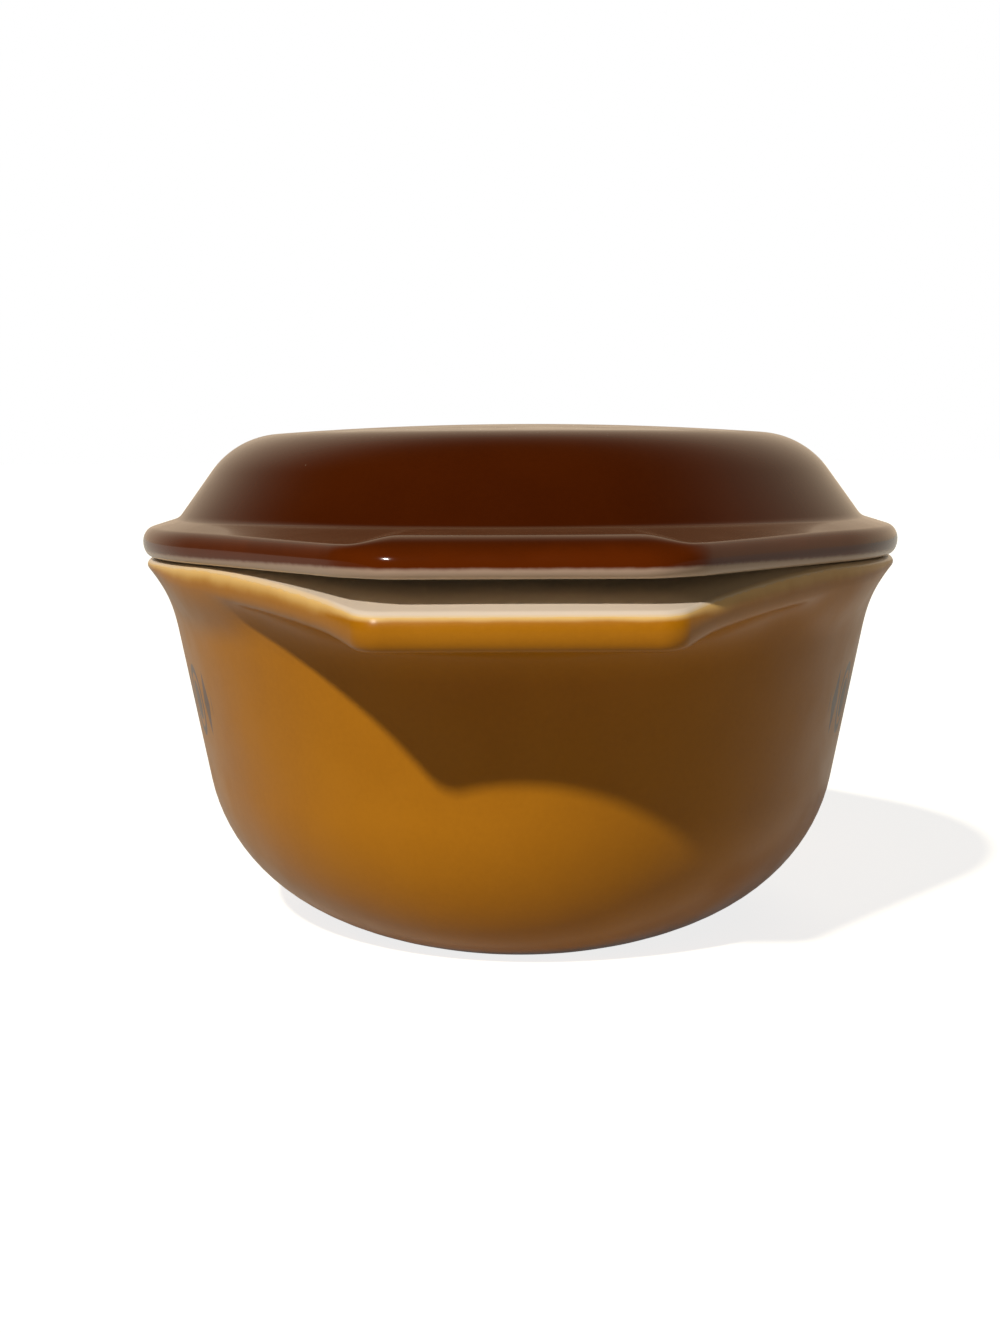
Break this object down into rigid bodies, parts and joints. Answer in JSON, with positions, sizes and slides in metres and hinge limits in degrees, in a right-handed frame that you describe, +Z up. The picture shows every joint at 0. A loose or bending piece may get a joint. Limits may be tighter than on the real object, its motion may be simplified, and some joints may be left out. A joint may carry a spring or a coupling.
{
  "type": "casserole dish",
  "caption": "Oval opal-glass casserole with a tab handle at each end and a loose domed lid that lifts straight off, for baking and serving.",
  "frame": {"origin": "under the middle of the base, on the surface that the dish stands on", "axes": "+Z up, the way the lid lifts; +Y along the dish from handle to handle; +X across it"},
  "size_m": [0.174, 0.27, 0.1108],
  "materials": {
    "amber_enamel": "glossy fired enamel on white opal glass",
    "brown_enamel": "glossy fired enamel on white opal glass"
  },
  "bodies": {
    "dish": {"dish": "amber_enamel"},
    "lid": {"lid": "brown_enamel"}
  },
  "joints": [
    {"name": "lid_lift", "type": "slide", "parent": "dish", "child": "lid", "axis": [0, 0, 1], "range_m": [0, 0.15]}
  ]
}
